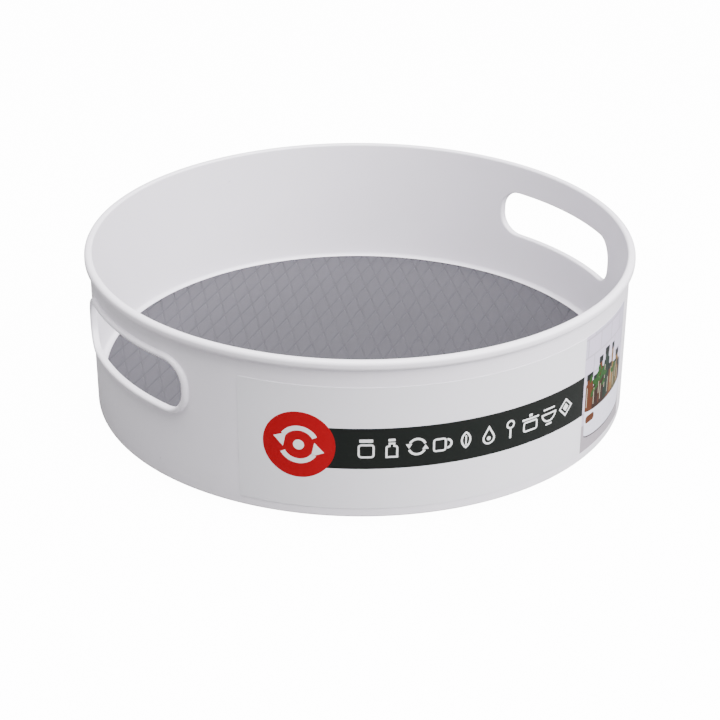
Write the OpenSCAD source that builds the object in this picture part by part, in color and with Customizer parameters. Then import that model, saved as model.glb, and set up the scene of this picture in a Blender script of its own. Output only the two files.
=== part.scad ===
// Round turntable tray: a walled tray with two hand slots and a soft mat, which turns on a ring
// of steel balls over a low base with rubber feet.
// Millimetres, +Z up. The origin is on the table, on the axis that the tray turns about,
// and the hand slots are on the X axis.

/* [Tray] */
// Outer diameter over the rim bead
tray_d = 280; // [240:1:340]
// Height of the tray from its lower edge to the top of the rim
tray_h = 82.5; // [74:0.5:120]
// Thickness of the tray wall
wall_t = 1.6; // [1.6:0.1:3]
// How much the wall leans in from the rim down to its lower edge
wall_draft = 0.3; // [0:0.1:3]
// Rounding of the outer lower edge of the wall
edge_r = 1.2; // [0.4:0.1:1.5]
// Thickness of the tray floor
floor_t = 2.0; // [1.6:0.1:3]
// Distance from the underside of the floor down to the lower edge of the wall
skirt_drop = 10.4; // [8:0.1:11]
// Radius of the fillet between the wall and the floor, inside
inner_fillet_r = 3.0; // [1:0.1:4]

/* [Rim] */
// How far the rim bead stands out past the wall
bead_out = 2.4; // [1.5:0.1:4]
// Height of the rim bead
bead_h = 4.9; // [4:0.1:8]
// Rounding of the bead's outer edges
bead_r = 2.0; // [0.5:0.1:2.5]
// Rounding of the bead's inner top edge
bead_inner_r = 1.2; // [0.3:0.1:1.2]

/* [Hand slots] */
// Length of each hand slot, straight across
slot_l = 92; // [70:1:110]
// Height of each hand slot
slot_h = 25.4; // [20:0.2:32]
// Distance from the top of the rim down to the slot's middle
slot_drop = 29.4; // [24:0.1:40]
// Corner radius of the hand slot
slot_r = 11; // [4:0.5:13]
// Width of the collar round the slot
collar_w = 2.6; // [1.5:0.1:5]
// How far the collar stands out from the wall
collar_out = 2.1; // [1:0.1:2.4]

/* [Mat] */
// Gap between the mat and the fillet round the floor
mat_gap = 0.35; // [0.1:0.05:3]
// Thickness of the mat
mat_t = 1.8; // [1:0.1:4]

/* [Label] */
// Angle that the label wraps round the wall
label_angle = 96; // [40:1:110]
// Direction that the label's middle faces, seen from above
label_mid = -100; // [-105:1:-75]
// Distance from the top of the rim down to the label
label_drop = 14; // [6:0.5:40]
// Distance from the lower edge of the tray up to the label
label_lift = 5; // [3:0.5:10]
// Thickness of the label
label_t = 0.18; // [0.1:0.01:0.4]

/* [Bearing] */
// Diameter of the ball circle
race_d = 132; // [100:1:160]
// Plastic on each side of a race ring's groove
race_shoulder = 1.5; // [1:0.1:3]
// Depth of the groove that the balls run in
groove_depth = 2.0; // [1:0.1:2.4]
// How much larger the groove's radius is than a ball's
groove_ease = 0.3; // [0.1:0.05:0.6]
// Gap between a ball and each groove
race_play = 0.04; // [0.01:0.01:0.1]
// Plastic left between the tray's groove and the tray floor
race_web = 0.7; // [0.4:0.1:1.2]
// Diameter of a ball
ball_d = 6; // [5:0.1:7.4]
// Thickness of the ball cage
cage_t = 1.5; // [1:0.1:1.8]
// Clearance round a ball in its cage pocket
pocket_clear = 0.15; // [0.05:0.05:0.4]
// Height of the cage's inner lip
cage_lip_h = 4.6; // [2:0.1:5]
// Thickness of the cage's inner lip
cage_lip_t = 2; // [1:0.1:3]
// Gap between the cage lip and the race rings
cage_lip_gap = 1; // [0.4:0.1:2]
// How far the cage's edge lies inside the outside of the race rings
cage_edge_gap = 0.4; // [0.2:0.1:0.6]

/* [Pivot] */
// Diameter of the tray's centre boss
boss_d = 12; // [9:0.1:14]
// Radial clearance between the boss and the hub bore
hub_clear = 0.05; // [0.02:0.01:0.1]
// Thickness of the base hub outside the washer's pocket
hub_wall = 2.7; // [1.6:0.1:5]
// Gap between the top of the hub and the tray floor
hub_gap = 1; // [0.5:0.1:2]
// Thickness of the hub's shelf over the washer
hub_shelf_t = 6.8; // [4:0.1:7.5]
// End play of the tray on the base
end_play = 0.2; // [0.1:0.05:0.4]
// Diameter of the retaining washer
washer_d = 19; // [16:0.5:24]
// Thickness of the retaining washer
washer_t = 1.2; // [0.8:0.1:1.6]
// Clearance round the washer in its pocket
washer_clear = 0.8; // [0.4:0.1:1.2]
// Diameter of the screw's shank
screw_d = 4; // [3:0.1:5]
// Length of the screw under its head
screw_l = 8; // [6:0.1:8.4]
// Diameter of the screw's head
screw_head_d = 7.8; // [6.5:0.1:9]
// Height of the screw's head
screw_head_h = 2.2; // [1.6:0.1:2.6]
// Radial clearance round the screw's shank
screw_clear = 0.05; // [0.02:0.01:0.2]

/* [Base] */
// Gap between the edge of the base and the tray wall
base_inset = 25.7; // [2:0.1:45]
// Thickness of the base plate
plate_t = 2.2; // [1.8:0.1:3]
// Space between the base plate and the tray floor
cavity_h = 10.2; // [9.6:0.1:14]
// Height of the base's outer lip above the plate
lip_h = 3.4; // [2:0.1:5]
// Thickness of the base's outer lip
lip_t = 2.2; // [1.5:0.1:4]
// Rounding of the base's lower edge
base_edge_r = 1; // [0.4:0.1:1.6]

/* [Ribs] */
// Thickness of the ribs and stiffening rings
rib_t = 1.6; // [1:0.1:2.4]
// Depth of the ribs under the tray floor
tray_rib_h = 3.4; // [2:0.1:4]
// Number of ribs under the tray
tray_ribs = 16; // [8:1:24]
// Height of the ribs on the base
base_rib_h = 2.6; // [1:0.1:3]
// Number of ribs on the base
base_ribs = 12; // [6:1:18]

/* [Feet] */
// Diameter of a foot
foot_d = 14; // [10:0.5:18]
// How far the feet stand out below the base
foot_stand = 1.5; // [1:0.1:3]
// Depth of the pocket that a foot is set in
foot_pocket = 0.9; // [0.5:0.1:1.2]
// Clearance round a foot in its pocket
foot_clear = 0.1; // [0.05:0.05:0.3]
// Distance from the base's edge to the middle of a foot
foot_inset = 14; // [12:0.5:20]
// Rounding of a foot's lower edge
foot_edge_r = 0.6; // [0.2:0.1:0.8]

/* [Hidden] */
$fn = 96;
ball_count = 16;
foot_count = 6;
two_digit = function (i) i < 10 ? str("0", i) : str(i);

// Heights from the table up
plate_z = foot_stand;
plate_top = plate_z + plate_t;
floor_under = plate_top + cavity_h;
floor_top = floor_under + floor_t;
skirt_z = floor_under - skirt_drop;
rim_top = skirt_z + tray_h;
slot_z = rim_top - slot_drop;
ball_r = ball_d / 2;
ball_z = floor_under - race_web - race_play - ball_r;
race_gap = ball_r + race_play - groove_depth;
hub_top = floor_under - hub_gap;
shelf_z = hub_top - hub_shelf_t;
boss_end = shelf_z - end_play;
washer_z = boss_end - washer_t;

// Radii
rim_r = tray_d / 2;
wall_top_r = rim_r - bead_out;
wall_foot_r = wall_top_r - wall_draft;
race_r = race_d / 2;
groove_r = ball_r + groove_ease;
groove_half_w = sqrt(pow(groove_r, 2) - pow(groove_r - groove_depth, 2));
race_in = race_r - groove_half_w - race_shoulder;
race_out = race_r + groove_half_w + race_shoulder;
cage_lip_r = race_in - cage_lip_gap;
hub_r = washer_d / 2 + washer_clear + hub_wall;
guard_ring_r = hub_r + 2;
hub_bore_r = boss_d / 2 + hub_clear;
base_r = wall_foot_r - wall_t - base_inset;
tray_ring_r = (base_r + wall_foot_r) / 2;
inner_ring_r = cage_lip_r - cage_lip_t - rib_t - 1.4;
// How far solids reach into each other where they join, and cuts reach past a face
over = 0.5;
// How far the tray's outer ribs reach into its race ring, which is less than the cage's edge gap
rib_bite = 0.1;

// Outer radius of the wall at a height above the table
function wall_r(z) = wall_foot_r + wall_draft * (z - skirt_z) / tray_h;

// A rectangle from the axis outwards, with one rounded corner where the foot of a wall is
module lower_rounded(r0, r1, z0, z1, corner) {
    difference() {
        translate([r0, z0]) square([r1 - r0, z1 - z0]);
        difference() {
            translate([r1 - corner, z0 - over]) square([corner + over, corner + over]);
            translate([r1 - corner, z0 + corner]) circle(corner);
        }
    }
}

// Half outline of the plain tray: floor, wall, fillet and rim bead
module tray_outline() {
    translate([0, floor_under]) square([wall_r(floor_under) - wall_t / 2, floor_t]);
    difference() {
        polygon([
            [wall_foot_r - wall_t, skirt_z],
            [wall_foot_r, skirt_z],
            [wall_top_r, rim_top],
            [wall_top_r - wall_t, rim_top]]);
        difference() {
            translate([wall_foot_r - edge_r, skirt_z - over]) square([edge_r + over, edge_r + over]);
            translate([wall_foot_r - edge_r, skirt_z + edge_r]) circle(edge_r);
        }
        bead_inner_cut();
    }
    difference() {
        translate([wall_r(floor_top) - wall_t - inner_fillet_r, floor_top - over])
            square([inner_fillet_r + wall_t / 2, inner_fillet_r + over]);
        translate([wall_r(floor_top) - wall_t - inner_fillet_r, floor_top + inner_fillet_r])
            circle(inner_fillet_r);
    }
    bead_outline();
}

// Rounding of the rim's inner top edge
module bead_inner_cut() {
    difference() {
        translate([wall_top_r - wall_t - over, rim_top - bead_inner_r])
            square([bead_inner_r + over, bead_inner_r + over]);
        translate([wall_top_r - wall_t + bead_inner_r, rim_top - bead_inner_r]) circle(bead_inner_r);
    }
}

// The bead that stands out at the top of the wall, with both outer edges rounded
module bead_outline() {
    low = rim_top - bead_h;
    translate([wall_top_r - wall_t / 2, low]) square([bead_out + wall_t / 2 - bead_r, bead_h]);
    translate([rim_r - bead_r, low + bead_r]) square([bead_r, bead_h - 2 * bead_r]);
    translate([rim_r - bead_r, low + bead_r]) circle(bead_r);
    translate([rim_r - bead_r, rim_top - bead_r]) circle(bead_r);
}

// Rectangle with round corners, made of exact arcs
module round_rect(l, h, r) {
    square([l - 2 * r, h], center = true);
    square([l, h - 2 * r], center = true);
    for (x = [-1, 1], y = [-1, 1])
        translate([x * (l / 2 - r), y * (h / 2 - r)]) circle(r);
}

// A bar with the hand slot's outline, grown by a margin, through the wall at +X
module slot_bar(margin) {
    translate([rim_r / 2, 0, slot_z])
        rotate([90, 0, 90])
            linear_extrude(rim_r / 2 + over)
                round_rect(slot_l + 2 * margin, slot_h + 2 * margin, slot_r + margin);
}

// Collar round the hand slot: a band of a ring that is as thick as the wall and the collar
module collar() {
    intersection() {
        slot_bar(collar_w);
        translate([0, 0, slot_z - slot_h])
            difference() {
                cylinder(h = 2 * slot_h, r = wall_top_r + collar_out);
                translate([0, 0, -over]) cylinder(h = 2 * slot_h + 2 * over, r = wall_foot_r - wall_t / 2);
            }
    }
}

// A flat ring
module ring(r_in, r_out, z, h) {
    translate([0, 0, z])
        difference() {
            cylinder(h = h, r = r_out);
            translate([0, 0, -over]) cylinder(h = h + 2 * over, r = r_in);
        }
}

// Evenly spaced radial ribs
module ribs(count, r_in, r_out, z, h) {
    for (i = [0:count - 1])
        rotate([0, 0, (i + 0.5) * 360 / count])
            translate([r_in, -rib_t / 2, z]) cube([r_out - r_in, rib_t, h]);
}

// Torus that cuts the ball groove; up is 1 for the tray's groove and -1 for the base's
module groove(up) {
    translate([0, 0, ball_z + up * (ball_r + race_play - groove_r)])
        rotate_extrude() translate([race_r, 0]) circle(groove_r);
}

module tray() {
    rib_z = floor_under - tray_rib_h;
    color("whitesmoke")
        difference() {
            union() {
                rotate_extrude() tray_outline();
                for (a = [0, 180]) rotate([0, 0, a]) collar();
                ring(race_in, race_out, ball_z + race_gap, floor_under + over - ball_z - race_gap);
                ring(tray_ring_r - rib_t / 2, tray_ring_r + rib_t / 2, rib_z, tray_rib_h + over);
                ring(inner_ring_r, inner_ring_r + rib_t, rib_z, tray_rib_h + over);
                ring(guard_ring_r, guard_ring_r + rib_t, rib_z, tray_rib_h + over);
                ribs(tray_ribs, race_out - rib_bite, wall_foot_r - wall_t / 2, rib_z, tray_rib_h + over);
                ribs(tray_ribs / 2, guard_ring_r + over, inner_ring_r + over, rib_z, tray_rib_h + over);
                translate([0, 0, boss_end]) cylinder(h = floor_under + over - boss_end, d = boss_d);
            }
            groove(1);
            for (a = [0, 180]) rotate([0, 0, a]) slot_bar(0);
            translate([0, 0, boss_end - over])
                cylinder(h = screw_l - washer_t + 2 * over, r = screw_d / 2 + screw_clear);
        }
}

module mat() {
    mat_r = wall_r(floor_top) - wall_t - inner_fillet_r - mat_gap;
    color("darkgray") translate([0, 0, floor_top]) cylinder(h = mat_t, r = mat_r, $fn = 180);
}

module label() {
    low = skirt_z + label_lift;
    high = rim_top - label_drop;
    color("white")
        rotate([0, 0, label_mid - label_angle / 2])
            rotate_extrude(angle = label_angle)
                polygon([
                    [wall_r(low), low],
                    [wall_r(low) + label_t, low],
                    [wall_r(high) + label_t, high],
                    [wall_r(high), high]]);
}

module base() {
    color("gainsboro")
        difference() {
            union() {
                rotate_extrude() lower_rounded(0, base_r, plate_z, plate_top, base_edge_r);
                ring(base_r - lip_t, base_r, plate_top - over, lip_h + over);
                ring(race_in, race_out, plate_top - over, ball_z - race_gap - plate_top + over);
                translate([0, 0, plate_top - over]) cylinder(h = hub_top - plate_top + over, r = hub_r);
                ribs(base_ribs, hub_r - over, race_in + over, plate_top - over, base_rib_h + over);
                ribs(base_ribs, race_out - over, base_r - lip_t + over, plate_top - over,
                    base_rib_h + over);
            }
            groove(-1);
            translate([0, 0, shelf_z - over]) cylinder(h = hub_shelf_t + 2 * over, r = hub_bore_r);
            translate([0, 0, plate_z - over])
                cylinder(h = shelf_z - plate_z + over, d = washer_d + 2 * washer_clear);
            for (i = [1:foot_count])
                foot_place(i)
                    translate([0, 0, plate_z - over])
                        cylinder(h = foot_pocket + over, r = foot_d / 2 + foot_clear);
        }
}

module ball_cage() {
    pocket_r = ball_r + pocket_clear;
    color("ivory")
        difference() {
            union() {
                ring(cage_lip_r - cage_lip_t, race_out - cage_edge_gap, ball_z - cage_t / 2, cage_t);
                ring(cage_lip_r - cage_lip_t, cage_lip_r, ball_z - cage_lip_h / 2, cage_lip_h);
            }
            for (i = [1:ball_count])
                ball_place(i) translate([0, 0, -cage_t]) cylinder(h = 2 * cage_t, r = pocket_r);
        }
}

// Puts its child where ball i is
module ball_place(i) {
    rotate([0, 0, (i - 1) * 360 / ball_count]) translate([race_r, 0, ball_z]) children();
}

module ball(i) {
    color("silver") ball_place(i) sphere(d = ball_d);
}

// Puts its child under foot i
module foot_place(i) {
    rotate([0, 0, (i - 0.5) * 360 / foot_count]) translate([base_r - foot_inset, 0, 0]) children();
}

module foot(i) {
    color("dimgray")
        foot_place(i)
            rotate_extrude() lower_rounded(0, foot_d / 2, 0, foot_stand + foot_pocket, foot_edge_r);
}

module retaining_washer() {
    color("silver")
        translate([0, 0, washer_z])
            difference() {
                cylinder(h = washer_t, d = washer_d);
                translate([0, 0, -over])
                    cylinder(h = washer_t + 2 * over, r = screw_d / 2 + screw_clear);
            }
}

// Self-tapping screw, driven up into the boss, with a cross recess in its head
module centre_screw() {
    recess_w = screw_head_d * 0.12;
    recess_l = screw_head_d * 0.55;
    recess_h = screw_head_h * 0.6;
    color("silver")
        difference() {
            union() {
                translate([0, 0, washer_z]) cylinder(h = screw_l, d = screw_d);
                rotate_extrude()
                    lower_rounded(0, screw_head_d / 2, washer_z - screw_head_h, washer_z,
                        screw_head_h * 0.45);
            }
            translate([0, 0, washer_z - screw_head_h + recess_h / 2 - over / 2])
                for (a = [0, 90])
                    rotate([0, 0, a]) cube([recess_l, recess_w, recess_h + over], center = true);
        }
}

tray();
mat();
label();
base();
ball_cage();
centre_screw();
retaining_washer();
for (i = [1:ball_count])
    ball(i);
for (i = [1:foot_count])
    foot(i);
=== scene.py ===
import math
import bpy
import bmesh
from mathutils import Matrix, Quaternion, Vector


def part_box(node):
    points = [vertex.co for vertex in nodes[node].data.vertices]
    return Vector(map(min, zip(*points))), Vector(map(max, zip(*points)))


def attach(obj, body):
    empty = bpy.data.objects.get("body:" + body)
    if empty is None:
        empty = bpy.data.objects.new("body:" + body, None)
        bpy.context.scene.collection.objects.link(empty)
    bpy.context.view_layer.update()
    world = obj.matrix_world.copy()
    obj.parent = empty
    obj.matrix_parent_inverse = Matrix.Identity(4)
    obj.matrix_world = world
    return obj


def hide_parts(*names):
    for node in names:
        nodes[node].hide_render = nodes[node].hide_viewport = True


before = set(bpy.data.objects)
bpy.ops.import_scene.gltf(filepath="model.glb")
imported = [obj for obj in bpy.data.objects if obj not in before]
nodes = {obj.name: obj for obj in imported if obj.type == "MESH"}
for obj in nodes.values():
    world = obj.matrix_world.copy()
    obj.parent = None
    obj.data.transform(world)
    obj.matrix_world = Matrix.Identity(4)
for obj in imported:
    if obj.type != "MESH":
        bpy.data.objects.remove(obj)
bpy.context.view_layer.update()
mm = 0.001  # meshes are shaped in millimetres and brought to metres at the end
print("frame loaded:", len(nodes), "nodes")


def size(node):
    low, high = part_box(node)
    return low / mm, high / mm


trayLow, trayHigh = size("tray")
matLow, matHigh = size("mat")
labelLow, labelHigh = size("label")
baseHigh = size("base")[1]
ballLow, ballHigh = size("ball_01")
washerHigh = size("retaining_washer")[1]


def arc(cx, cz, r, start, end, steps):
    # points along an arc, angles in degrees
    turn = [math.radians(start + (end - start) * i / steps) for i in range(steps + 1)]
    return [(cx + r * math.cos(t), cz + r * math.sin(t)) for t in turn]


def lathe(bm, points, columns):
    # an outline in the XZ plane, turned about the Z axis
    verts = [bm.verts.new((x, 0, z)) for x, z in points]
    edges = [bm.edges.new(pair) for pair in zip(verts, verts[1:])]
    bmesh.ops.spin(bm, geom=verts + edges, cent=(0, 0, 0), axis=(0, 0, 1), dvec=(0, 0, 0),
                   angle=2 * math.pi, steps=columns, use_merge=True, use_duplicate=False)
    bmesh.ops.remove_doubles(bm, verts=bm.verts, dist=0.0005)


def addPiece(bm, name, material, sharp=35):
    bm.normal_update()  # recalc reads the faces' old normals, which are wrong on a moved shape
    bmesh.ops.recalc_face_normals(bm, faces=bm.faces)
    bmesh.ops.scale(bm, vec=(mm, mm, mm), verts=bm.verts)
    mesh = bpy.data.meshes.new(name)
    bm.to_mesh(mesh)
    bm.free()
    piece = bpy.data.objects.new(name, mesh)
    bpy.context.scene.collection.objects.link(piece)
    mesh.materials.append(material)
    mesh.shade_smooth()
    mesh.set_sharp_from_angle(angle=math.radians(sharp))
    return piece


def evenNormals(piece):
    step = piece.modifiers.new("even normals", "WEIGHTED_NORMAL")
    step.keep_sharp = True


def place(piece, body, slot, *replaced):
    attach(piece, body)
    if replaced:
        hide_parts(*replaced)


cameraView = {
    "azimuth": -34,
    "elevation": 27.62,
    "distance": 1.009,
    "lens": 95.05,
    "aimRight": 0.0003,
    "aimUp": 0.0112,
    "roll": 0.27,
}


def viewAxes(azimuth, elevation):
    a, e = math.radians(azimuth), math.radians(elevation)
    back = Vector((math.sin(a) * math.cos(e), -math.cos(a) * math.cos(e), math.sin(e)))
    right = Vector((math.cos(a), math.sin(a), 0))
    return back, right, back.cross(right)


def addCamera():
    v = cameraView
    back, right, up = viewAxes(v["azimuth"], v["elevation"])
    foot = Vector((0, 0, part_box("tray")[0].z))
    spot = foot + back * v["distance"]
    aim = foot + right * v["aimRight"] + up * v["aimUp"]
    data = bpy.data.cameras.new("camera")
    data.lens = v["lens"]
    data.sensor_width = 36
    data.clip_start = 0.05
    camera = bpy.data.objects.new("camera", data)
    camera.rotation_mode = "QUATERNION"
    camera.location = spot
    turn = (aim - spot).to_track_quat("-Z", "Y")
    camera.rotation_quaternion = turn @ Quaternion((0, 0, 1), math.radians(v["roll"]))
    bpy.context.scene.collection.objects.link(camera)
    bpy.context.scene.camera = camera


addCamera()
print("camera placed")


def addNode(tree, kind, settings=None, **sockets):
    node = tree.nodes.new("ShaderNode" + kind)
    for key, value in (settings or {}).items():
        setattr(node, key, value)
    for key, value in sockets.items():
        node.inputs[key.replace("_", " ")].default_value = value
    return node


def addMath(tree, operation, first, second):
    node = addNode(tree, "Math", {"operation": operation})
    for socket, value in zip(node.inputs, (first, second)):
        if isinstance(value, bpy.types.NodeSocket):
            tree.links.new(value, socket)
        else:
            socket.default_value = value
    return node.outputs[0]


def newGroup(name, inputs, outputs):
    tree = bpy.data.node_groups.new(name, "ShaderNodeTree")
    for title, value in inputs.items():
        kind = "NodeSocketColor" if isinstance(value, tuple) else "NodeSocketFloat"
        tree.interface.new_socket(title, in_out="INPUT", socket_type=kind).default_value = value
    for title in outputs:
        kind = "NodeSocketColor" if title == "Color" else "NodeSocketFloat"
        tree.interface.new_socket(title, in_out="OUTPUT", socket_type=kind)
    return tree, tree.nodes.new("NodeGroupInput"), tree.nodes.new("NodeGroupOutput")


def noise(tree, where, scale, detail, rough=0.5):
    node = addNode(tree, "TexNoise", Detail=detail, Roughness=rough)
    tree.links.new(where, node.inputs["Vector"])
    if isinstance(scale, bpy.types.NodeSocket):
        tree.links.new(scale, node.inputs["Scale"])
    else:
        node.inputs["Scale"].default_value = scale
    return node.outputs["Fac"]


def shade(tree, color, amount):
    # a colour made lighter or darker by a value round 1
    node = addNode(tree, "VectorMath", {"operation": "SCALE"})
    tree.links.new(color, node.inputs[0])
    tree.links.new(amount, node.inputs["Scale"])
    return node.outputs[0]


def makeMouldGrain():
    # moulded plastic: slow changes of tone and gloss, a fine satin grain, and a few dust specks
    tree, given, made = newGroup("mouldGrain", {
        "Color": (0.8, 0.8, 0.8, 1), "Roughness": 0.4, "Grain": 1600.0, "Tone": 0.05,
        "Dust": 0.3}, ["Color", "Roughness", "Height"])
    spot = addNode(tree, "TexCoord").outputs["Object"]
    slow = noise(tree, spot, 9, 3)
    patch = noise(tree, spot, 70, 4, 0.6)
    fine = noise(tree, spot, given.outputs["Grain"], 2)
    dots = addNode(tree, "TexVoronoi", Scale=95, Randomness=1)
    tree.links.new(spot, dots.inputs["Vector"])
    speck = addMath(tree, "LESS_THAN", dots.outputs["Distance"], 0.035)
    some = addMath(tree, "GREATER_THAN", noise(tree, spot, 31, 1), 0.62)
    speck = addMath(tree, "MULTIPLY", addMath(tree, "MULTIPLY", speck, some), given.outputs["Dust"])
    swing = addMath(tree, "SUBTRACT", addMath(tree, "ADD", slow, patch), 1)
    tone = addMath(tree, "ADD", addMath(tree, "MULTIPLY", swing, given.outputs["Tone"]), 1)
    tree.links.new(shade(tree, given.outputs["Color"], addMath(tree, "SUBTRACT", tone, speck)),
                   made.inputs["Color"])
    gloss = addMath(tree, "MULTIPLY", addMath(tree, "SUBTRACT", patch, 0.5), 0.16)
    gloss = addMath(tree, "ADD", gloss, given.outputs["Roughness"])
    tree.links.new(addMath(tree, "ADD", gloss, speck), made.inputs["Roughness"])
    sink = addMath(tree, "MULTIPLY", slow, 6)
    tree.links.new(addMath(tree, "ADD", fine, sink), made.inputs["Height"])
    return tree


def makeRubberSpeckle():
    # soft rubber: a matt pebble grain with a little bloom
    tree, given, made = newGroup("rubberSpeckle", {
        "Color": (0.3, 0.3, 0.3, 1), "Roughness": 0.7, "Grain": 2200.0, "Bloom": 0.1},
        ["Color", "Roughness", "Height"])
    spot = addNode(tree, "TexCoord").outputs["Object"]
    grain = noise(tree, spot, given.outputs["Grain"], 3, 0.6)
    bloom = noise(tree, spot, 26, 5, 0.62)
    swing = addMath(tree, "MULTIPLY", addMath(tree, "SUBTRACT", bloom, 0.5), given.outputs["Bloom"])
    grit = addMath(tree, "MULTIPLY", addMath(tree, "SUBTRACT", grain, 0.5), 0.12)
    tone = addMath(tree, "ADD", addMath(tree, "ADD", swing, grit), 1)
    tree.links.new(shade(tree, given.outputs["Color"], tone), made.inputs["Color"])
    rough = addMath(tree, "ADD", addMath(tree, "MULTIPLY", swing, 0.8), given.outputs["Roughness"])
    tree.links.new(rough, made.inputs["Roughness"])
    tree.links.new(grain, made.inputs["Height"])
    return tree


def makePaperFibre():
    # coated paper and the ink on it: faint fibres, slight mottling and a soft cockle
    tree, given, made = newGroup("paperFibre", {
        "Color": (0.8, 0.8, 0.8, 1), "Roughness": 0.35, "Mottle": 0.04},
        ["Color", "Roughness", "Height"])
    spot = addNode(tree, "UVMap").outputs["UV"]
    fibre = addNode(tree, "Mapping")
    fibre.inputs["Scale"].default_value = (260, 900, 1)
    tree.links.new(spot, fibre.inputs["Vector"])
    strand = noise(tree, fibre.outputs["Vector"], 1, 3, 0.6)
    cloud = noise(tree, spot, 45, 4, 0.6)
    cockle = noise(tree, spot, 9, 1)
    swing = addMath(tree, "SUBTRACT", addMath(tree, "ADD", strand, cloud), 1)
    tone = addMath(tree, "ADD", addMath(tree, "MULTIPLY", swing, given.outputs["Mottle"]), 1)
    tree.links.new(shade(tree, given.outputs["Color"], tone), made.inputs["Color"])
    rough = addMath(tree, "MULTIPLY", addMath(tree, "SUBTRACT", cloud, 0.5), 0.15)
    tree.links.new(addMath(tree, "ADD", rough, given.outputs["Roughness"]), made.inputs["Roughness"])
    ripple = addMath(tree, "MULTIPLY", cockle, 5)
    tree.links.new(addMath(tree, "ADD", ripple, strand), made.inputs["Height"])
    return tree


def makeMetalMarks():
    # plated or ground steel: fine scratches that cross, and stains that change the gloss
    tree, given, made = newGroup("metalMarks", {
        "Color": (0.6, 0.6, 0.6, 1), "Roughness": 0.25, "Marks": 0.2},
        ["Color", "Roughness", "Height"])
    spot = addNode(tree, "TexCoord").outputs["Object"]
    scratch = []
    for scale in ((900, 90, 400), (90, 900, 400)):
        along = addNode(tree, "Mapping")
        along.inputs["Scale"].default_value = scale
        tree.links.new(spot, along.inputs["Vector"])
        scratch.append(noise(tree, along.outputs["Vector"], 4, 2))
    marks = addMath(tree, "MULTIPLY", scratch[0], scratch[1])
    stain = noise(tree, spot, 160, 4, 0.6)
    swing = addMath(tree, "MULTIPLY", addMath(tree, "SUBTRACT", stain, 0.5), given.outputs["Marks"])
    tone = addMath(tree, "ADD", swing, 1)
    tree.links.new(shade(tree, given.outputs["Color"], tone), made.inputs["Color"])
    tree.links.new(addMath(tree, "ADD", swing, given.outputs["Roughness"]), made.inputs["Roughness"])
    tree.links.new(marks, made.inputs["Height"])
    return tree


def newMaterial(name, group, bump, values, **sockets):
    # a Principled shader fed by one of the groups, with the group's own values
    material = bpy.data.materials.new(name)
    material.use_nodes = True
    tree = material.node_tree
    shader = tree.nodes["Principled BSDF"]
    effect = addNode(tree, "Group", {"node_tree": group})
    for title, value in values.items():
        effect.inputs[title].default_value = value
    tree.links.new(effect.outputs["Color"], shader.inputs["Base Color"])
    tree.links.new(effect.outputs["Roughness"], shader.inputs["Roughness"])
    relief = addNode(tree, "Bump", Strength=bump, Distance=0.0001)
    tree.links.new(effect.outputs["Height"], relief.inputs["Height"])
    tree.links.new(relief.outputs["Normal"], shader.inputs["Normal"])
    for title, value in sockets.items():
        shader.inputs[title.replace("_", " ")].default_value = value
    return material


mouldGrain = makeMouldGrain()
rubberSpeckle = makeRubberSpeckle()
paperFibre = makePaperFibre()
metalMarks = makeMetalMarks()

trayPlastic = newMaterial("trayPlastic", mouldGrain, 0.1, {
    "Color": (0.905, 0.865, 0.945, 1), "Roughness": 0.36, "Tone": 0.03, "Dust": 0.25})
basePlastic = newMaterial("basePlastic", mouldGrain, 0.25, {
    "Color": (0.76, 0.75, 0.77, 1), "Roughness": 0.46, "Tone": 0.05, "Dust": 0.35})
cageNylon = newMaterial("cageNylon", mouldGrain, 0.2, {
    "Color": (0.78, 0.73, 0.62, 1), "Roughness": 0.42, "Tone": 0.07, "Dust": 0.2},
    Subsurface_Weight=0.1, Subsurface_Scale=0.002)
matRubber = newMaterial("matRubber", rubberSpeckle, 0.3, {
    "Color": (0.0492, 0.0471, 0.0568, 1), "Roughness": 0.6, "Bloom": 0.16})
footRubber = newMaterial("footRubber", rubberSpeckle, 0.5, {
    "Color": (0.06, 0.06, 0.065, 1), "Roughness": 0.8, "Bloom": 0.3})
zincPlate = newMaterial("zincPlate", metalMarks, 0.2, {
    "Color": (0.62, 0.62, 0.64, 1), "Roughness": 0.28, "Marks": 0.25}, Metallic=1.0)
ballSteel = newMaterial("ballSteel", metalMarks, 0.05, {
    "Color": (0.68, 0.68, 0.7, 1), "Roughness": 0.1, "Marks": 0.08}, Metallic=1.0)
labelPaper = newMaterial("labelPaper", paperFibre, 0.12, {
    "Color": (0.86, 0.84, 0.9, 1), "Roughness": 0.34, "Mottle": 0.03})


def ink(name, color, roughness=0.4, mottle=0.08):
    return newMaterial(name, paperFibre, 0.08, {
        "Color": (*color, 1), "Roughness": roughness, "Mottle": mottle}, Specular_IOR_Level=0.12)


print("materials made")


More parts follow.
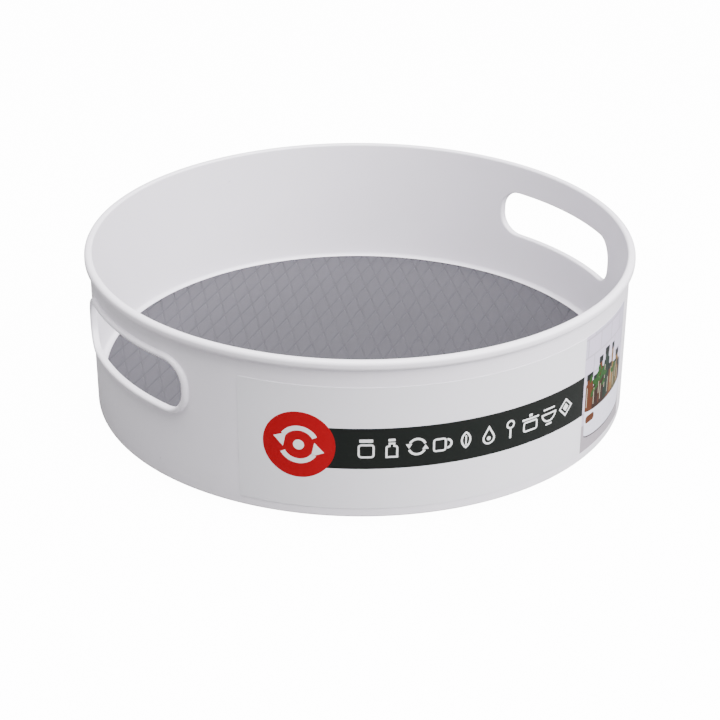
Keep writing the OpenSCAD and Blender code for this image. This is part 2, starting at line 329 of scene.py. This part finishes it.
trayShape = {
    "columns": 384,
    "wall": 1.6,
    "lean": 0.3,
    "beadOut": 2.4,
    "beadHigh": 4.9,
    "beadRound": 2.0,
    "beadFillet": 0.5,
    "wallRings": (6, 14, 24),  # up the wall, below the slots
    "lipRound": 1.2,
    "footRound": 1.2,
    "footInnerRound": 0.4,
    "floorFillet": 3.0,
    "floorRing": 2,  # between the fillet and the floor's next ring
    "innerRing": 10,  # up the inside of the wall, below the slots
    "underFillet": 1.0,
    "floorThick": 2.0,
    "slotLong": 92,
    "slotHigh": 25.4,
    "slotCorner": 11,
    "slotMiddle": 53.1,
    "collarWide": 2.6,
    "collarOut": 2.1,
    "collarRound": 1.25,
    "collarFillet": 0.45,
    "collarApron": (1.6, 0.5),  # rings that lie on the wall round the collar
    "slotInnerRound": 0.7,
    "slotApron": 1.4,
    "windowColumns": 48,
    "windowRows": 16,
    "windowHigh": 36,
    "ribs": 16,
    "ribThick": 1.6,
    "ribDeep": 3.4,
    "ribBite": 0.1,
    "ribRoot": 0.5,
    "raceWide": 9.07,
    "raceDeep": 2.0,
    "racePlay": 0.04,
    "grooveEase": 0.3,
    "innerRingGap": 5.2,
    "guardRing": 15.8,
    "bossRadius": 6,
    "bossRound": 0.4,
    "boreRadius": 2.05,
    "boreDeep": 7,
}


def wallRadius(z):
    t = trayShape
    low = trayHigh.x - t["beadOut"] - t["lean"]
    return low + t["lean"] * (z - trayLow.z) / (trayHigh.z - trayLow.z)


def windowRows():
    t = trayShape
    low = trayLow.z + t["slotMiddle"] - t["windowHigh"] / 2
    step = t["windowHigh"] / t["windowRows"]
    return [low + step * i for i in range(t["windowRows"] + 1)]


def underOutline():
    # from the screw's bore out to the inside of the wall, under the floor
    t = trayShape
    under = matLow.z - t["floorThick"]
    ribLow = under - t["ribDeep"]
    half = t["ribThick"] / 2
    ballMid = (ballLow + ballHigh) / 2
    ballRadius = (ballHigh.z - ballLow.z) / 2
    grooveRadius = ballRadius + t["grooveEase"]
    grooveTop = ballMid.z + ballRadius + t["racePlay"]
    face = grooveTop - t["raceDeep"]
    lean = math.degrees(math.acos((face - grooveTop + grooveRadius) / grooveRadius))
    ringIn, ringOut = ballMid.x - t["raceWide"] / 2, ballMid.x + t["raceWide"] / 2
    bossEnd, bore, boss = washerHigh.z, t["boreRadius"], t["bossRadius"]
    soft = t["bossRound"]
    points = [(0, bossEnd + t["boreDeep"]), (bore, bossEnd + t["boreDeep"]), (bore, bossEnd)]
    points += [(boss - soft, bossEnd), (boss, bossEnd + soft), (boss, under)]
    for r in (t["guardRing"], ringIn - t["innerRingGap"]):
        points += [(r - half, under), (r - half, ribLow), (r + half, ribLow), (r + half, under)]
    points += [(ringIn, under), (ringIn, face)]
    points += arc(ballMid.x, grooveTop - grooveRadius, grooveRadius, 90 + lean, 90 - lean, 12)
    points += [(ringOut, face), (ringOut, under)]
    outer = (baseHigh.x + wallRadius(trayLow.z)) / 2
    points += [(outer - half, under), (outer - half, ribLow), (outer + half, ribLow),
               (outer + half, under)]
    inner, soft = wallRadius(under) - t["wall"], t["underFillet"]
    return points + arc(inner - soft, under - soft, soft, 90, 0, 4)


def wallOutline():
    # round the wall's lower edge, up its outside, over the bead and down to the floor's middle
    t = trayShape
    top, foot, floor = trayHigh.z, trayLow.z, matLow.z
    soft = t["footInnerRound"]
    points = arc(wallRadius(foot) - t["wall"] + soft, foot + soft, soft, 180, 270, 3)
    soft = t["footRound"]
    points += arc(wallRadius(foot) - soft, foot + soft, soft, 270, 360, 6)
    rows = windowRows()
    beadLow = top - t["beadHigh"]
    climb = [foot + up for up in t["wallRings"]] + rows + [(rows[-1] + beadLow) / 2]
    points += [(wallRadius(z), z) for z in climb]
    soft = t["beadFillet"]
    points += arc(wallRadius(beadLow) + soft, beadLow - soft, soft, 180, 90, 3)
    bead = t["beadRound"]
    points += arc(trayHigh.x - bead, beadLow + bead, bead, 270, 360, 8)
    points += arc(trayHigh.x - bead, top - bead, bead, 0, 90, 8)
    lip = t["lipRound"]
    points += arc(wallRadius(top) - t["wall"] + lip, top - lip, lip, 90, 180, 5)
    descent = [beadLow] + rows[::-1] + [floor + t["innerRing"]]
    points += [(wallRadius(z) - t["wall"], z) for z in descent]
    fillet = t["floorFillet"]
    corner = wallRadius(floor) - t["wall"] - fillet
    points += arc(corner, floor + fillet, fillet, 0, -90, 8)
    return points + [(corner - t["floorRing"], floor), (corner / 2, floor), (0, floor)]


def roundedOutline(u, v, halfLong, halfHigh, corner):
    # moves a point of the rectangle's edge onto the rounded outline, u and v from -1 to 1
    x, z = abs(u) * halfLong, abs(v) * halfHigh
    dx, dz = x - (halfLong - corner), z - (halfHigh - corner)
    if dx > 0 and dz > 0:
        away = Vector((dx, dz)).normalized() * corner
        x, z = halfLong - corner + away.x, halfHigh - corner + away.y
    return math.copysign(x, u), math.copysign(z, v)


def collarSteps():
    # how far outside the slot's outline each loop lies, and its radius or the wall's face it is on
    t = trayShape
    wide, r, fillet = t["collarWide"], t["collarRound"], t["collarFillet"]
    wall = wallRadius(trayLow.z + t["slotMiddle"])
    out, inside = wall + t["collarOut"], wall - t["wall"]
    steps = [(wide + apron, "outside") for apron in t["collarApron"]]
    steps += [(e, wall + x) for x, e in arc(fillet, wide + fillet, fillet, 180, 270, 4)[1:]]
    steps += [(e, x) for x, e in arc(out - r, wide - r, r, 90, 0, 7)]
    steps += [(e, x) for x, e in arc(out - r, r, r, 0, -90, 7)]
    steps += [(0, (out + inside) / 2)]
    i = t["slotInnerRound"]
    steps += [(e, x) for x, e in arc(inside + i, i, i, 270, 180, 5)[:-1]]
    return steps + [(i, "inside"), (i + t["slotApron"], "inside")]


def growLoop(bm, edges):
    made = bmesh.ops.extrude_edge_only(bm, edges=edges)["geom"]
    verts = [g for g in made if isinstance(g, bmesh.types.BMVert)]
    new = set(verts)
    loop = [g for g in made if isinstance(g, bmesh.types.BMEdge) and set(g.verts) <= new]
    return verts, loop


def cutSlot(bm, side):
    # opens a window in both faces of the wall, and grows the collar and the slot between them
    t = trayShape
    rows = windowRows()
    mid = trayLow.z + t["slotMiddle"]
    halfTurn = math.pi * t["windowColumns"] / t["columns"]
    wallMid = wallRadius(mid) - t["wall"] / 2
    nearWall = wallMid - t["floorFillet"]

    def inWindow(p):
        turn = math.atan2(p.y, p.x * side)
        return p.xy.length > nearWall and abs(turn) < halfTurn and rows[0] < p.z < rows[-1]

    gone = [f for f in bm.faces if inWindow(f.calc_center_median())]
    bmesh.ops.delete(bm, geom=gone, context="FACES")
    homeY = bm.verts.layers.float["homeY"]
    homeZ = bm.verts.layers.float["homeZ"]
    ring = [e for e in bm.edges if e.is_boundary and e.verts[0].co.x * side > 0]
    loop = [e for e in ring if e.verts[0].co.xy.length > wallMid]
    for v in {v for e in loop for v in e.verts}:
        v[homeY] = math.atan2(v.co.y, v.co.x * side)
        v[homeZ] = (v.co.z - mid) / (t["windowHigh"] / 2)
    for expand, radius in collarSteps():
        verts, loop = growLoop(bm, loop)
        halfLong, halfHigh = t["slotLong"] / 2 + expand, t["slotHigh"] / 2 + expand
        for v in verts:
            u = math.sin(v[homeY]) / math.sin(halfTurn)
            y, z = roundedOutline(u, v[homeZ], halfLong, halfHigh, t["slotCorner"] + expand)
            wall = wallRadius(mid + z)
            r = {"outside": wall, "inside": wall - t["wall"]}.get(radius, radius)
            v.co = (side * math.sqrt(r * r - y * y), y, mid + z)
    verts, loop = growLoop(bm, loop)
    for v in verts:
        z = mid + v[homeZ] * t["windowHigh"] / 2
        r = wallRadius(z) - t["wall"]
        v.co = (side * r * math.cos(v[homeY]), r * math.sin(v[homeY]), z)


def addRibs(bm, count, inner, outer, low, high):
    for i in range(count):
        bar = bmesh.ops.create_cube(bm, size=1)["verts"]
        bmesh.ops.scale(bm, vec=(outer - inner, trayShape["ribThick"], high - low), verts=bar)
        bmesh.ops.translate(bm, vec=((outer + inner) / 2, 0, (high + low) / 2), verts=bar)
        turn = Matrix.Rotation(2 * math.pi * (i + 0.5) / count, 3, "Z")
        bmesh.ops.rotate(bm, cent=(0, 0, 0), matrix=turn, verts=bar)


def makeTray():
    t = trayShape
    bm = bmesh.new()
    bm.verts.layers.float.new("homeY")
    bm.verts.layers.float.new("homeZ")
    lathe(bm, underOutline() + wallOutline(), t["columns"])
    cutSlot(bm, 1)
    cutSlot(bm, -1)
    bmesh.ops.remove_doubles(bm, verts=bm.verts, dist=0.002)
    bmesh.ops.recalc_face_normals(bm, faces=bm.faces)
    print("tray open edges:", len([e for e in bm.edges if not e.is_manifold]))
    under = matLow.z - t["floorThick"]
    ringMid = (ballLow.x + ballHigh.x) / 2
    ringOut = ringMid + t["raceWide"] / 2
    innerRing = ringMid - t["raceWide"] / 2 - t["innerRingGap"]
    wallIn = wallRadius(trayLow.z) - t["wall"] / 2
    low, high = under - t["ribDeep"], under + t["ribRoot"]
    addRibs(bm, t["ribs"], ringOut - t["ribBite"], wallIn, low, high)
    addRibs(bm, t["ribs"] // 2, t["guardRing"], innerRing, low, high)
    tray = addPiece(bm, "trayShell", trayPlastic, sharp=40)
    evenNormals(tray)
    place(tray, "tray", "tray", "tray")


makeTray()
print("tray made")


matShape = {
    "sides": 288,
    "pitch": 8.33,
    "families": ((-55.29, 3.91), (-23.33, 3.09)),  # which way a set of grooves faces, and its shift
    "insets": ((0.2, 0), (0.22, 0.32), (0.24, 0.12), (0.7, 0.06)),  # inwards and up, from a groove
    "border": 1.0,
    "borderRound": 0.3,
    "borderChamfer": 0.1,
    "spareCells": 2,  # beyond the mat's edge, before the sheet is punched
    "spareHigh": 2,
}


def trimRound(piece, radius, low, high):
    # cuts a piece to a disc, as a mat is punched from its sheet
    bm = bmesh.new()
    bmesh.ops.create_cone(bm, cap_ends=True, segments=matShape["sides"], radius1=radius * mm,
                          radius2=radius * mm, depth=(high - low) * mm)
    bmesh.ops.translate(bm, vec=(0, 0, (high + low) / 2 * mm), verts=bm.verts)
    punchMesh = bpy.data.meshes.new("punch")
    bm.to_mesh(punchMesh)
    bm.free()
    punch = bpy.data.objects.new("punch", punchMesh)
    bpy.context.scene.collection.objects.link(punch)
    cut = piece.modifiers.new("cut", "BOOLEAN")
    cut.operation = "INTERSECT"
    cut.solver = "EXACT"
    cut.object = punch
    shown = piece.evaluated_get(bpy.context.evaluated_depsgraph_get())
    mesh = bpy.data.meshes.new_from_object(shown)
    mesh.name = piece.name
    piece.modifiers.clear()
    piece.data = mesh
    bpy.data.objects.remove(punch)
    bpy.data.meshes.remove(punchMesh)


def makeMat():
    # a sheet of four-sided cells between two sets of grooves
    m = matShape
    rise = sum(up for inwards, up in m["insets"])
    facings = [math.radians(facing) for facing, shift in m["families"]]
    meet = Matrix([(math.cos(a), math.sin(a)) for a in facings]).inverted()
    reach = math.ceil(matHigh.x / m["pitch"]) + m["spareCells"]
    bm = bmesh.new()
    corners = {}
    for i in range(-reach, reach):
        for j in range(-reach, reach):
            lines = [shift + k * m["pitch"] for k, (facing, shift) in zip((i, j), m["families"])]
            corners[i, j] = bm.verts.new((*(meet @ Vector(lines)), matHigh.z - rise))
    for i, j in corners:
        around = [corners.get(c) for c in ((i, j), (i + 1, j), (i + 1, j + 1), (i, j + 1))]
        if all(around):
            bm.faces.new(around)
    bmesh.ops.recalc_face_normals(bm, faces=bm.faces)
    if bm.faces[:][0].normal.z < 0:
        bmesh.ops.reverse_faces(bm, faces=bm.faces)
    rim = [e for e in bm.edges if e.is_boundary]
    cells = [f for f in bm.faces if not set(f.edges) & set(rim)]
    for inwards, up in m["insets"]:
        bmesh.ops.inset_individual(bm, faces=cells, thickness=inwards, depth=up,
                                   use_even_offset=True)
    verts, loop = growLoop(bm, rim)
    bmesh.ops.translate(bm, vec=(0, 0, matLow.z - m["spareHigh"] - matHigh.z + rise), verts=verts)
    bmesh.ops.holes_fill(bm, edges=loop, sides=0)
    openEdges = [e for e in bm.edges if not e.is_manifold]
    print("mat cells:", len(cells), "open edges:", len(openEdges))
    sheet = addPiece(bm, "matSheet", matRubber)
    inside, soft, chamfer = matHigh.x - m["border"], m["borderRound"], m["borderChamfer"]
    trimRound(sheet, inside, matLow.z, matHigh.z + m["spareHigh"])
    border = bmesh.new()
    outline = [(inside, matLow.z), (inside, matHigh.z - chamfer), (inside + chamfer, matHigh.z)]
    outline += arc(matHigh.x - soft, matHigh.z - soft, soft, 90, 0, 4)
    lathe(border, outline + [(matHigh.x, matLow.z), outline[0]], m["sides"])
    bmesh.ops.recalc_face_normals(border, faces=border.faces)
    bmesh.ops.scale(border, vec=(mm, mm, mm), verts=border.verts)
    border.from_mesh(sheet.data)
    border.to_mesh(sheet.data)
    border.free()
    sheet.data.shade_smooth()
    sheet.data.set_sharp_from_angle(angle=math.radians(60))
    place(sheet, "tray", "mat", "mat")


makeMat()
print("mat made")

labelShape = {
    "middle": -100,  # the way its middle faces, degrees
    "wrap": 96,
    "thick": 0.18,
    "corner": 1.2,
    "column": 1.8,
    "inkBelow": 0.03,
    "inkStep": 0.015,
    "bandLow": 29.8,
    "bandHigh": 51,
    "bandRight": 66.4,  # across, from the label's middle
    "spotAcross": -85.5,
    "spotUp": 41.1,
    "spotRadius": 17.15,
    "symbolAcross": -1.2,
    "symbolUp": 40.4,
    "symbolPitch": 11.8,
    "symbolLine": 0.95,
    "symbolGrow": 1.18,
    "flatUnit": 100,  # across the label for one unit of its flat map
}
turningSign = {
    "radius": 8.6,
    "line": 2.4,
    "starts": (28, 208),
    "sweep": 118,
    "head": [(-5.9, 5.6), (-11.9, 3.4), (-7.4, -1.6)],
    "dot": 2.6,
}
labelRadius = wallRadius((labelLow.z + labelHigh.z) / 2)
labelHalf = math.radians(labelShape["wrap"] / 2) * labelRadius


def roundRect(x, y, wide, high, corner, steps=3):
    dx, dy = wide / 2 - corner, high / 2 - corner
    points = []
    for sx, sy, start in ((1, 1, 0), (-1, 1, 90), (-1, -1, 180), (1, -1, 270)):
        points += arc(x + sx * dx, y + sy * dy, corner, start, start + 90, steps)
    return points


def disc(x, y, r, steps=48):
    return arc(x, y, r, 0, 360, steps)[:-1]


def curvedBar(x, y, r, wide, start, end, steps=12):
    return arc(x, y, r + wide / 2, start, end, steps) + arc(x, y, r - wide / 2, end, start, steps)


def jar(x, wide, low, high, neck, shoulder):
    # a bottle or jar from the side, with round shoulders
    half = wide / 2
    step = half - neck / 2
    right = [(x + half, low)] + arc(x + neck / 2, shoulder - step, step, 0, 90, 4)
    right += [(x + neck / 2, high)]
    return right + [(2 * x - a, b) for a, b in right[::-1]]


def makePrint(name, shapes, level, material, window=None, low=None, high=None):
    # flat shapes, each with a line width or 0 for a filled one, made thin solids on the wall
    s = labelShape
    bm = bmesh.new()
    for points, line in shapes:
        face = bm.faces.new([bm.verts.new((x, y, 0)) for x, y in points])
        face.normal_update()
        if line:
            bmesh.ops.inset_individual(bm, faces=[face], thickness=line, use_even_offset=True)
            bmesh.ops.delete(bm, geom=[face], context="FACES")
    bmesh.ops.triangulate(bm, faces=bm.faces)

    def cut(x, y, nx, ny, clear=False):
        bmesh.ops.bisect_plane(bm, geom=bm.verts[:] + bm.edges[:] + bm.faces[:], dist=0.0001,
                               plane_co=(x, y, 0), plane_no=(nx, ny, 0), clear_outer=clear)

    if window:
        left, bottom, right, top = window
        for edge in ((left, 0, -1, 0), (right, 0, 1, 0), (0, bottom, 0, -1), (0, top, 0, 1)):
            cut(*edge, clear=True)
    across = [v.co.x for v in bm.verts]
    first = math.floor(min(across) / s["column"]) + 1
    for k in range(first, math.ceil(max(across) / s["column"])):
        cut(k * s["column"], 0, 1, 0)
    uv = bm.loops.layers.uv.new("flat")
    low = s["thick"] - s["inkBelow"] if low is None else low
    high = s["thick"] + s["inkStep"] * level if high is None else high
    made = bmesh.ops.extrude_face_region(bm, geom=bm.faces[:], use_keep_orig=True)["geom"]
    raised = {g for g in made if isinstance(g, bmesh.types.BMVert)}
    for face in bm.faces:
        for loop in face.loops:
            loop[uv].uv = loop.vert.co.xy / s["flatUnit"]
    for v in bm.verts:
        x, y, z = v.co
        turn = math.radians(s["middle"]) + x / labelRadius
        r = wallRadius(y) + (high if v in raised else low)
        v.co = (r * math.cos(turn), r * math.sin(turn), y)
    piece = addPiece(bm, name, material)
    place(piece, "tray", "label", *(["label"] if name == "labelSheet" else []))


def pictograms():
    # small kitchen signs, each drawn about (0, 0) and about 8 mm high
    w = labelShape["symbolLine"]
    drop = arc(0, -1.4, 2.8, -210, 30, 12) + [(0, 4.3)]
    leaf = arc(-2.2, 0, 4.4, -60, 60, 8) + arc(2.2, 0, 4.4, 120, 240, 8)[1:-1]
    return [
        [(roundRect(0, -1, 6.6, 6.2, 1.4), w), (roundRect(0, 3.5, 5.4, 1.4, 0.4), 0)],
        [(jar(0, 5, -4.2, 2.6, 2.6, 1.4), w), (roundRect(0, 3.7, 2.8, 1.1, 0.3), 0)],
        [(curvedBar(0, 0, 3.4, w, 20, 150), 0), (curvedBar(0, 0, 3.4, w, 200, 330), 0),
         ([(-4.6, 1.4), (-2, 1.4), (-3.3, -0.7)], 0), ([(4.6, -1.4), (2, -1.4), (3.3, 0.7)], 0)],
        [(roundRect(-0.9, -0.4, 5.6, 6, 1.3), w), (curvedBar(2, -0.2, 1.9, w, -85, 85, 8), 0)],
        [(leaf, w), (roundRect(0, -0.2, 0.7, 4.4, 0.2), 0)],
        [(drop, w), (disc(0, -1.5, 0.9, 16), 0)],
        [(disc(0, 2.1, 2, 20), w), (roundRect(0, -2, 0.9, 4.2, 0.3), 0)],
        [(roundRect(0, -1.4, 7.4, 4.8, 1.2), w), (roundRect(0, 1.9, 8.6, 0.9, 0.3), 0),
         (roundRect(0, 3.4, 1.8, 1.2, 0.4), 0)],
        [(arc(0, 1.2, 4.2, 180, 360, 14), w), (roundRect(0, -3.9, 3.4, 0.8, 0.3), 0),
         (roundRect(0, 3, 6.4, 0.8, 0.3), 0)],
        [([(4.2, 0), (0, 4.2), (-4.2, 0), (0, -4.2)], w),
         ([(1.8, 0), (0, 1.8), (-1.8, 0), (0, -1.8)], 0)],
    ]


def moved(points, x, y, grow=1):
    return [(a * grow + x, b * grow + y) for a, b in points]


def makeLabel():
    s = labelShape
    mid = (labelLow.z + labelHigh.z) / 2
    sheet = roundRect(0, mid, 2 * labelHalf, labelHigh.z - labelLow.z, s["corner"], 4)
    makePrint("labelSheet", [(sheet, 0)], 0, labelPaper, low=0, high=s["thick"])
    low, high, right = s["bandLow"], s["bandHigh"], s["bandRight"]
    left = s["spotAcross"]
    band = [(left, low), (right, low), (right, high), (left, high)]
    makePrint("labelBand", [(band, 0)], 1, ink("inkBlack", (0.009, 0.0105, 0.0095)))
    makePrint("labelSpot", [(disc(left, s["spotUp"], s["spotRadius"], 72), 0)], 3,
              ink("inkRed", (0.36, 0.001, 0.006)))
    white = ink("inkWhite", (0.84, 0.84, 0.85))
    t, up = turningSign, s["spotUp"]
    turning = [(curvedBar(left, up, t["radius"], t["line"], start, start + t["sweep"], 20), 0)
               for start in t["starts"]]
    for side in (1, -1):
        turning.append((moved(t["head"], left, up, side), 0))
    turning.append((disc(left, up, t["dot"], 24), 0))
    makePrint("labelTurningSign", turning, 5, white)
    for i, sign in enumerate(pictograms()):
        x = s["symbolAcross"] + (i - 4.5) * s["symbolPitch"]
        shapes = [(moved(points, x, s["symbolUp"], s["symbolGrow"]), line) for points, line in sign]
        makePrint("labelSign.%02d" % (i + 1), shapes, 3, white)


pictureShape = {
    "tableHigh": 15,
    "trayLeft": 1.6,
    "trayRight": 46.8,
    "rimUp": 22.8,
    "rimBow": 2.6,
    "footUp": 9.4,
    "footBow": 3.2,
    "footLean": 0.7,
    "shadow": (0.3, -0.9),
    "pastEdge": 1,  # how far the layers run past the panel before they are cut
    "rightMargin": 0.4,
    "crowdUp": 26,
    "crowdHigh": 15,
    "crowdInset": 1.2,
    "crowdCorner": 4,
    "capUp": 1.5,
    "capHigh": 3.4,
    "capWider": 0.9,
    "capCorner": 0.4,
    "glintIn": 1.2,
    "glintUp": 1.5,
    "glintWide": 0.5,
    "glintPart": 0.6,
    "glintCorner": 0.2,
    "holeAcross": 7.4,
    "holeUp": 17,
    "holeWide": 8.4,
    "holeHigh": 4,
    "holeCorner": 1.5,
}
# middle, width, foot, top of the glass, neck, shoulder, colour
pictureJars = [
    (16.4, 5.4, 22, 44, 3.2, 41, "amber"), (23.6, 6.6, 22, 46, 4, 43, "bottleGreen"),
    (31.4, 5, 22, 45, 2.2, 37, "gold"), (39.2, 6, 22, 38, 4, 36, "gold"),
    (5.4, 6.8, 19, 39, 4.8, 37, "amber"), (11.8, 6, 19, 36, 4.4, 34, "brown"),
    (19.6, 7.6, 19, 34.5, 5.6, 33, "brown"), (28.4, 7.4, 19, 35, 4.4, 33, "amber"),
    (36.4, 6.6, 19, 33, 4.8, 31.6, "olive"), (42.6, 4.8, 19, 31, 3.4, 30, "brown"),
]
# middle across and up, length, the way it points
pictureLeaves = [
    (13.4, 37.2, 7, 70), (16.8, 35.4, 6, 20), (10.6, 35.6, 6, 150), (15.2, 40.6, 5.6, 105),
    (18.6, 38.2, 6.4, 50), (21.6, 35.8, 5.4, -10), (12.2, 32.4, 5.4, 215), (34.2, 34.2, 5.2, 60),
    (8.4, 30.2, 5, 240), (31.8, 32.6, 5, 140), (20.4, 31.4, 5, 200), (6.4, 38.8, 4.6, 80),
]
pictureColors = {
    "amber": (0.085, 0.024, 0.007),
    "brown": (0.024, 0.009, 0.005),
    "bottleGreen": (0.008, 0.018, 0.012),
    "gold": (0.18, 0.1, 0.03),
    "olive": (0.06, 0.05, 0.016),
    "leafGreen": (0.014, 0.062, 0.009),
    "capBlack": (0.006, 0.008, 0.007),
    "trayWhite": (0.74, 0.72, 0.84),
    "trayInside": (0.4, 0.38, 0.46),
    "shadowGrey": (0.06, 0.056, 0.06),
    "tableGrey": (0.36, 0.32, 0.36),
    "glint": (0.45, 0.4, 0.3),
}


def bow(left, right, up, depth, steps=16):
    # the front half of a flat ellipse, from left to right
    mid, half = (left + right) / 2, (right - left) / 2
    return [(mid + half * a, up + depth * b) for a, b in arc(0, 0, 1, 180, 360, steps)]


def makePicture():
    p = pictureShape
    x, y = labelShape["bandRight"], labelLow.z
    window = (x, y, labelHalf - p["rightMargin"], labelHigh.z)
    wide, high = labelHalf - x, labelHigh.z - y
    inks = {name: ink("picture" + name[0].upper() + name[1:], color, mottle=0.3)
            for name, color in pictureColors.items()}

    def layer(name, shapes, level, color):
        shapes = [(moved(points, x, y), line) for points, line in shapes]
        makePrint("picture" + name, shapes, level, inks.get(color, tileInk), window)

    def ground(top):
        past = p["pastEdge"]
        return [(-past, -past), (wide + past, -past), (wide + past, top), (-past, top)]

    layer("Backdrop", [(ground(high + p["pastEdge"]), 0)], 1, "tiles")
    layer("Table", [(ground(p["tableHigh"]), 0)], 2, "tableGrey")
    left, right = p["trayLeft"], p["trayRight"]
    foot = bow(left + p["footLean"], right - p["footLean"], p["footUp"], p["footBow"])
    layer("Shadow", [(moved(foot, *p["shadow"]), 0)], 3, "shadowGrey")
    ellipse = bow(left, right, p["rimUp"], p["rimBow"])
    back = [(a, 2 * p["rimUp"] - b) for a, b in ellipse[::-1][1:-1]]
    layer("TrayInside", [(ellipse + back, 0)], 4, "trayInside")
    crowd = roundRect((left + right) / 2, p["crowdUp"], right - left - 2 * p["crowdInset"],
                      p["crowdHigh"], p["crowdCorner"])
    layer("Crowd", [(crowd, 0)], 4.5, "brown")
    for color in ("bottleGreen", "gold", "amber", "brown", "olive"):
        jars = [(jar(*shape), 0) for *shape, c in pictureJars if c == color]
        level = 5 + list(pictureColors).index(color) / 2
        layer("Jars" + color[0].upper() + color[1:], jars, level, color)
    caps, glints = [], []
    for across, broad, low, top, neck, shoulder, color in pictureJars:
        cap = roundRect(across, top + p["capUp"], neck + p["capWider"], p["capHigh"], p["capCorner"])
        caps.append((cap, 0))
        glint = roundRect(across - broad / 2 + p["glintIn"], (low + shoulder) / 2 + p["glintUp"],
                          p["glintWide"], (shoulder - low) * p["glintPart"], p["glintCorner"])
        glints.append((glint, 0))
    layer("Caps", caps, 8, "capBlack")
    layer("Glints", glints, 8, "glint")
    blade = arc(-0.35, 0, 0.61, -55, 55, 5) + arc(0.35, 0, 0.61, 125, 235, 5)[1:-1]
    leaves = []
    for across, up, long, facing in pictureLeaves:
        c, d = math.cos(math.radians(facing - 90)), math.sin(math.radians(facing - 90))
        turned = [(u * c - v * d, u * d + v * c) for u, v in blade]
        leaves.append((moved(turned, across, up, long), 0))
    layer("Leaves", leaves, 9, "leafGreen")
    layer("TrayWall", [(ellipse + foot[::-1], 0)], 10, "trayWhite")
    hole = roundRect(p["holeAcross"], p["holeUp"], p["holeWide"], p["holeHigh"], p["holeCorner"])
    layer("TrayHole", [(hole, 0)], 11, "amber")


def makeTileInk():
    # pale wall tiles, out of the printed picture's depth
    material = ink("pictureTiles", (0.58, 0.54, 0.66), mottle=0.1)
    tree = material.node_tree
    tiles = addNode(tree, "TexBrick", {"offset": 0.5}, Scale=4, Mortar_Size=0.02, Row_Height=0.4,
                    Color1=(0.62, 0.55, 0.7, 1), Color2=(0.54, 0.51, 0.64, 1),
                    Mortar=(0.46, 0.42, 0.52, 1))
    tree.links.new(addNode(tree, "UVMap").outputs["UV"], tiles.inputs["Vector"])
    effect = next(n for n in tree.nodes if n.type == "GROUP")
    tree.links.new(tiles.outputs["Color"], effect.inputs["Color"])
    return material


tileInk = makeTileInk()
makeLabel()
makePicture()
print("label made")


finishes = {
    "base": basePlastic, "ball_cage": cageNylon, "centre_screw": zincPlate,
    "retaining_washer": zincPlate, "ball": ballSteel, "foot": footRubber,
}
for name, node in nodes.items():
    finish = finishes.get(name) or finishes.get(name.split("_")[0])
    if finish:
        node.data.materials.clear()
        node.data.materials.append(finish)


floorShape = {
    "radius": 6,  # metres
    "sides": 96,
    "tone": 0.2,
    "roughness": 0.6,
    "patchy": 0.02,
    "glow": 14,  # seen by the camera only, so that it lights nothing
}


def makeFloorPaper():
    f = floorShape
    material = bpy.data.materials.new("floorPaper")
    material.use_nodes = True
    tree = material.node_tree
    shader = tree.nodes["Principled BSDF"]
    spot = addNode(tree, "TexCoord").outputs["Object"]
    patches = addMath(tree, "MULTIPLY", noise(tree, spot, 30, 3), f["patchy"])
    tree.links.new(addMath(tree, "ADD", patches, f["roughness"]), shader.inputs["Roughness"])
    shader.inputs["Base Color"].default_value = (f["tone"], f["tone"], f["tone"], 1)
    shader.inputs["Emission Color"].default_value = (1, 1, 1, 1)
    sight = addNode(tree, "LightPath").outputs["Is Camera Ray"]
    tree.links.new(addMath(tree, "MULTIPLY", sight, f["glow"]), shader.inputs["Emission Strength"])
    return material


def addFloor():
    bm = bmesh.new()
    bmesh.ops.create_circle(bm, cap_ends=True, segments=floorShape["sides"],
                            radius=floorShape["radius"])
    mesh = bpy.data.meshes.new("floor")
    bm.to_mesh(mesh)
    bm.free()
    floor = bpy.data.objects.new("floor", mesh)
    mesh.materials.append(makeFloorPaper())
    bpy.context.scene.collection.objects.link(floor)


lightPlan = {
    "front": {"azimuth": 5, "elevation": 42, "away": 1.6, "across": 1.2, "power": 33},
    "right": {"azimuth": 40, "elevation": 32, "away": 1.6, "across": 1.2, "power": 34},
    "top": {"azimuth": -34, "elevation": 86, "away": 1.5, "across": 1.4, "power": 64},
    "left": {"azimuth": -122, "elevation": 35, "away": 1.7, "across": 1.2, "power": 8},
}
worldLight = 0.05


def addLights():
    for name, p in lightPlan.items():
        back = viewAxes(p["azimuth"], p["elevation"])[0]
        data = bpy.data.lights.new(name, "AREA")
        data.shape = "DISK"
        data.size = p["across"]
        data.energy = p["power"]
        lamp = bpy.data.objects.new(name, data)
        lamp.location = back * p["away"]
        lamp.rotation_mode = "QUATERNION"
        lamp.rotation_quaternion = (-back).to_track_quat("-Z", "Y")
        bpy.context.scene.collection.objects.link(lamp)
    world = bpy.data.worlds.new("studio")
    world.use_nodes = True
    sky = world.node_tree.nodes["Background"].inputs
    sky["Color"].default_value = (1, 1, 1, 1)
    sky["Strength"].default_value = worldLight
    bpy.context.scene.world = world


addFloor()
addLights()
print("floor and lights placed")
